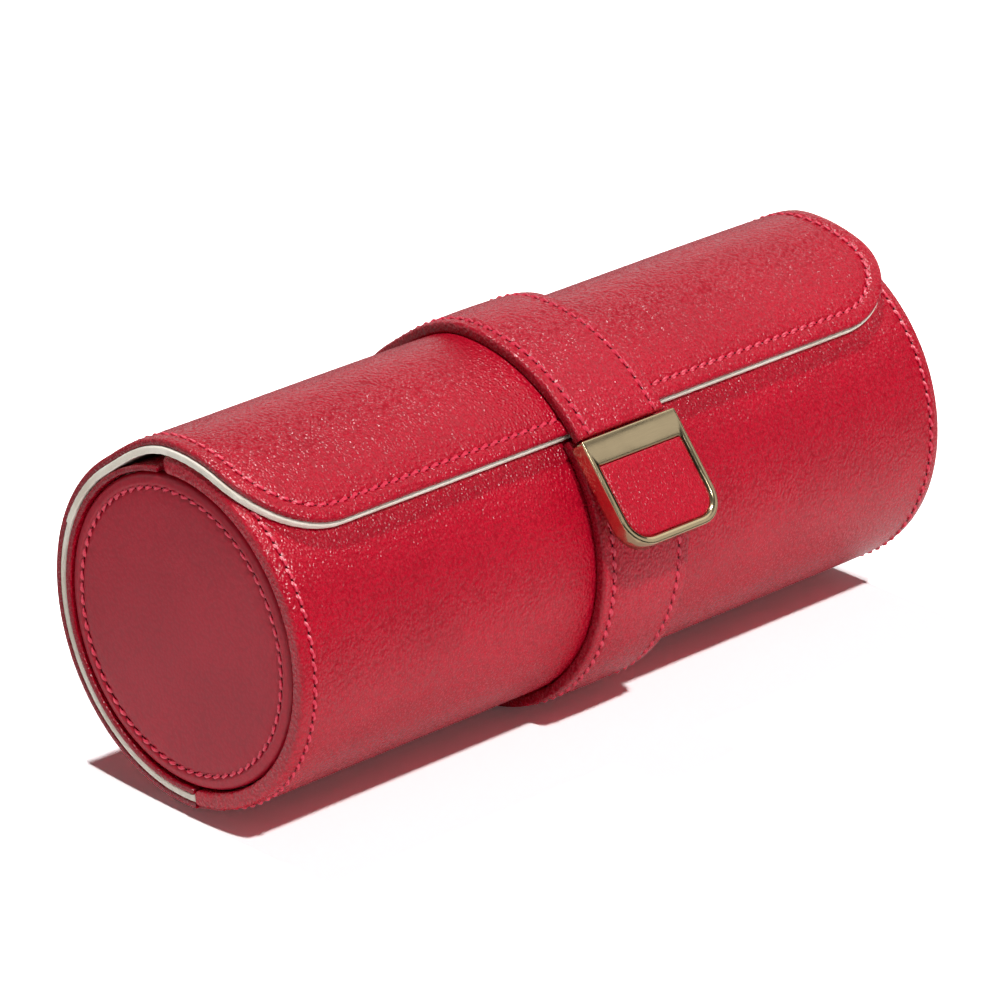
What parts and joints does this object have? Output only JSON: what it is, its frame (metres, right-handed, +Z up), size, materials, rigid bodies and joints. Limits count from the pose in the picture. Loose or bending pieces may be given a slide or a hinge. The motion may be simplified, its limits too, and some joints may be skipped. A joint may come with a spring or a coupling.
{
  "type": "watch travel case",
  "caption": "Round leather roll for watches: a tray with end discs, a hinged front shell, and a lined wrap whose flap closes with a metal clasp.",
  "frame": {"origin": "centre line of the flat on the underside of the strap, midway along the tube", "axes": "+X along the tube to its right end, -Y towards the clasp, +Z up"},
  "size_m": [0.2, 0.0994, 0.0916],
  "materials": {
    "red_leather": "fine pebbled, semi-gloss",
    "strap_leather": "fine pebbled, semi-gloss",
    "disc_leather": "fine pebbled, satin",
    "inlay_leather": "fine pebbled, semi-gloss",
    "lining_suede": "brushed suede",
    "cuff_suede": "brushed suede",
    "gold_metal": "polished pale gold plate",
    "steel": "satin"
  },
  "bodies": {
    "tray": {"tray_shell": "red_leather", "tray_lining": "lining_suede", "end_disc_left": "disc_leather", "end_disc_right": "disc_leather", "end_lining_left": "lining_suede", "end_lining_right": "lining_suede", "divider_left": "lining_suede", "divider_right": "lining_suede", "cuff_left": "cuff_suede", "cuff_middle": "cuff_suede", "cuff_right": "cuff_suede", "cuff_panels_left": "cuff_suede", "cuff_panels_middle": "cuff_suede", "cuff_panels_right": "cuff_suede", "wrap_back_leather": "red_leather", "wrap_back_lining": "lining_suede", "strap_back": "strap_leather"},
    "wrap_top": {"wrap_top_leather": "red_leather", "wrap_top_lining": "lining_suede", "strap_top": "strap_leather"},
    "flap": {"flap_leather": "red_leather", "flap_lining": "lining_suede", "strap_flap": "strap_leather"},
    "clasp": {"clasp_frame": "gold_metal", "clasp_inlay": "inlay_leather", "clasp_tongue": "strap_leather", "clasp_rivets": "steel", "clasp_magnet": "steel", "clasp_back_plate": "gold_metal"},
    "front_shell": {"front_shell": "red_leather", "front_lining": "lining_suede", "strap_front": "strap_leather", "strike_boss": "steel", "strike_disc": "steel", "strike_rivet": "steel"}
  },
  "joints": [
    {"name": "lower_fold", "type": "hinge", "parent": "tray", "child": "wrap_top", "pos_m": [0, 0.04392, 0.03626], "axis": [-1, 0, 0], "range_deg": [0, 70]},
    {"name": "upper_fold", "type": "hinge", "parent": "wrap_top", "child": "flap", "pos_m": [0, 0.02684, 0.07962], "axis": [-1, 0, 0], "range_deg": [0, 70]},
    {"name": "clasp_lift", "type": "hinge", "parent": "flap", "child": "clasp", "pos_m": [0, -0.03628, 0.07497], "axis": [-1, 0, 0], "range_deg": [0, 60]},
    {"name": "shell_hinge", "type": "hinge", "parent": "tray", "child": "front_shell", "pos_m": [0, -0.00501, 0], "axis": [1, 0, 0], "range_deg": [0, 40]}
  ],
  "couplings": [
    {"joint": "upper_fold", "follows": "lower_fold", "ratio": 1},
    {"joint": "shell_hinge", "follows": "lower_fold", "ratio": 0.57}
  ]
}
